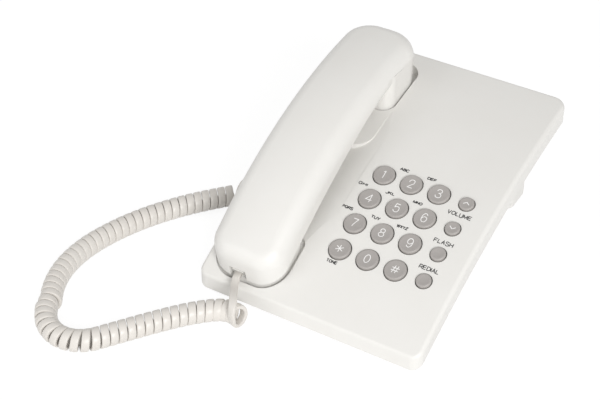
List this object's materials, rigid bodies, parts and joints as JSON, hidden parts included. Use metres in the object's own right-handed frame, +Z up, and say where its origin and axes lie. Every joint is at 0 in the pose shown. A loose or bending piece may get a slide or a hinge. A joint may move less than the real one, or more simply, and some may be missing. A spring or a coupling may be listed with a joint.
{
  "type": "corded desk telephone",
  "caption": "Corded desk telephone with a lift-off handset on the left of an arched wedge base, push-button keypad on the right and a curly handset cord.",
  "frame": {"origin": "middle of the body's footprint, on the table under the feet", "axes": "+X to the phone's right, +Y to its back, +Z up"},
  "size_m": [0.2321, 0.2904, 0.0971],
  "materials": {
    "shell_plastic": "satin",
    "foot_rubber": "matt",
    "screw_steel": "zinc plated",
    "board": "matt",
    "mat_rubber": "matt",
    "socket_plastic": "satin",
    "switch_plastic": "satin",
    "spring_steel": "bright",
    "ringer_brass": "satin",
    "weight_iron": "plain",
    "capsule_metal": "satin",
    "plug_plastic": "glossy",
    "cord_sheath": "satin",
    "key_plastic": "satin"
  },
  "bodies": {
    "base": {"upper_shell": "shell_plastic", "bottom_cover": "shell_plastic", "rear_stand": "shell_plastic", "front_feet": "foot_rubber", "rear_feet": "foot_rubber", "case_screws": "screw_steel", "main_board": "board", "key_mat": "mat_rubber", "board_screws": "screw_steel", "handset_jack": "socket_plastic", "line_jack": "socket_plastic", "selector_switches": "switch_plastic", "hook_switch": "switch_plastic", "hook_spring": "spring_steel", "ringer_disc": "ringer_brass", "ballast_plate": "weight_iron", "cord_plug_base": "plug_plastic", "curly_cord": "cord_sheath", "cord_tail_handset": "cord_sheath", "cord_tail_base": "cord_sheath"},
    "handset": {"handset_cover": "shell_plastic", "handset_body": "shell_plastic", "handset_screws": "screw_steel", "receiver_gasket": "mat_rubber", "receiver_capsule": "capsule_metal", "microphone_holder": "mat_rubber", "microphone_capsule": "capsule_metal", "handset_weight": "weight_iron", "handset_socket": "socket_plastic", "cord_plug_handset": "plug_plastic"},
    "hook": {"hook_plunger": "switch_plastic"},
    "key_1": {"key_1": "key_plastic"},
    "key_2": {"key_2": "key_plastic"},
    "key_3": {"key_3": "key_plastic"},
    "key_4": {"key_4": "key_plastic"},
    "key_5": {"key_5": "key_plastic"},
    "key_6": {"key_6": "key_plastic"},
    "key_7": {"key_7": "key_plastic"},
    "key_8": {"key_8": "key_plastic"},
    "key_9": {"key_9": "key_plastic"},
    "key_0": {"key_0": "key_plastic"},
    "key_star": {"key_star": "key_plastic"},
    "key_hash": {"key_hash": "key_plastic"},
    "key_volume_up": {"key_volume_up": "key_plastic"},
    "key_volume_down": {"key_volume_down": "key_plastic"},
    "key_flash": {"key_flash": "key_plastic"},
    "key_redial": {"key_redial": "key_plastic"},
    "ringer_selector": {"ringer_selector": "switch_plastic"},
    "dialling_selector": {"dialling_selector": "switch_plastic"}
  },
  "joints": [
    {"name": "handset_lift", "type": "slide", "parent": "base", "child": "handset", "axis": [0, 0, 1], "range_m": [0, 0.06], "deforming": ["cord_tail_handset"]},
    {"name": "hook_slide", "type": "slide", "parent": "base", "child": "hook", "axis": [0, 0, 1], "range_m": [0, 0.004], "deforming": ["hook_spring"]},
    {"name": "key_1_press", "type": "slide", "parent": "base", "child": "key_1", "axis": [0, 0.3442, -0.9389], "range_m": [0, 0.0015], "stiffness_N_per_m": 400},
    {"name": "key_2_press", "type": "slide", "parent": "base", "child": "key_2", "axis": [0, 0.3442, -0.9389], "range_m": [0, 0.0015], "stiffness_N_per_m": 400},
    {"name": "key_3_press", "type": "slide", "parent": "base", "child": "key_3", "axis": [0, 0.3442, -0.9389], "range_m": [0, 0.0015], "stiffness_N_per_m": 400},
    {"name": "key_4_press", "type": "slide", "parent": "base", "child": "key_4", "axis": [0, 0.3442, -0.9389], "range_m": [0, 0.0015], "stiffness_N_per_m": 400},
    {"name": "key_5_press", "type": "slide", "parent": "base", "child": "key_5", "axis": [0, 0.3442, -0.9389], "range_m": [0, 0.0015], "stiffness_N_per_m": 400},
    {"name": "key_6_press", "type": "slide", "parent": "base", "child": "key_6", "axis": [0, 0.3442, -0.9389], "range_m": [0, 0.0015], "stiffness_N_per_m": 400},
    {"name": "key_7_press", "type": "slide", "parent": "base", "child": "key_7", "axis": [0, 0.3442, -0.9389], "range_m": [0, 0.0015], "stiffness_N_per_m": 400},
    {"name": "key_8_press", "type": "slide", "parent": "base", "child": "key_8", "axis": [0, 0.3442, -0.9389], "range_m": [0, 0.0015], "stiffness_N_per_m": 400},
    {"name": "key_9_press", "type": "slide", "parent": "base", "child": "key_9", "axis": [0, 0.3442, -0.9389], "range_m": [0, 0.0015], "stiffness_N_per_m": 400},
    {"name": "key_0_press", "type": "slide", "parent": "base", "child": "key_0", "axis": [0, 0.3442, -0.9389], "range_m": [0, 0.0015], "stiffness_N_per_m": 400},
    {"name": "key_star_press", "type": "slide", "parent": "base", "child": "key_star", "axis": [0, 0.3442, -0.9389], "range_m": [0, 0.0015], "stiffness_N_per_m": 400},
    {"name": "key_hash_press", "type": "slide", "parent": "base", "child": "key_hash", "axis": [0, 0.3442, -0.9389], "range_m": [0, 0.0015], "stiffness_N_per_m": 400},
    {"name": "key_volume_up_press", "type": "slide", "parent": "base", "child": "key_volume_up", "axis": [0, 0.3442, -0.9389], "range_m": [0, 0.0015], "stiffness_N_per_m": 400},
    {"name": "key_volume_down_press", "type": "slide", "parent": "base", "child": "key_volume_down", "axis": [0, 0.3442, -0.9389], "range_m": [0, 0.0015], "stiffness_N_per_m": 400},
    {"name": "key_flash_press", "type": "slide", "parent": "base", "child": "key_flash", "axis": [0, 0.3442, -0.9389], "range_m": [0, 0.0015], "stiffness_N_per_m": 400},
    {"name": "key_redial_press", "type": "slide", "parent": "base", "child": "key_redial", "axis": [0, 0.3442, -0.9389], "range_m": [0, 0.0015], "stiffness_N_per_m": 400},
    {"name": "ringer_selector_slide", "type": "slide", "parent": "base", "child": "ringer_selector", "axis": [1, 0, 0], "range_m": [-0.0025, 0.0025]},
    {"name": "dialling_selector_slide", "type": "slide", "parent": "base", "child": "dialling_selector", "axis": [1, 0, 0], "range_m": [-0.0025, 0.0025]}
  ],
  "couplings": [
    {"joint": "hook_slide", "follows": "handset_lift", "ratio": 0.0666}
  ]
}
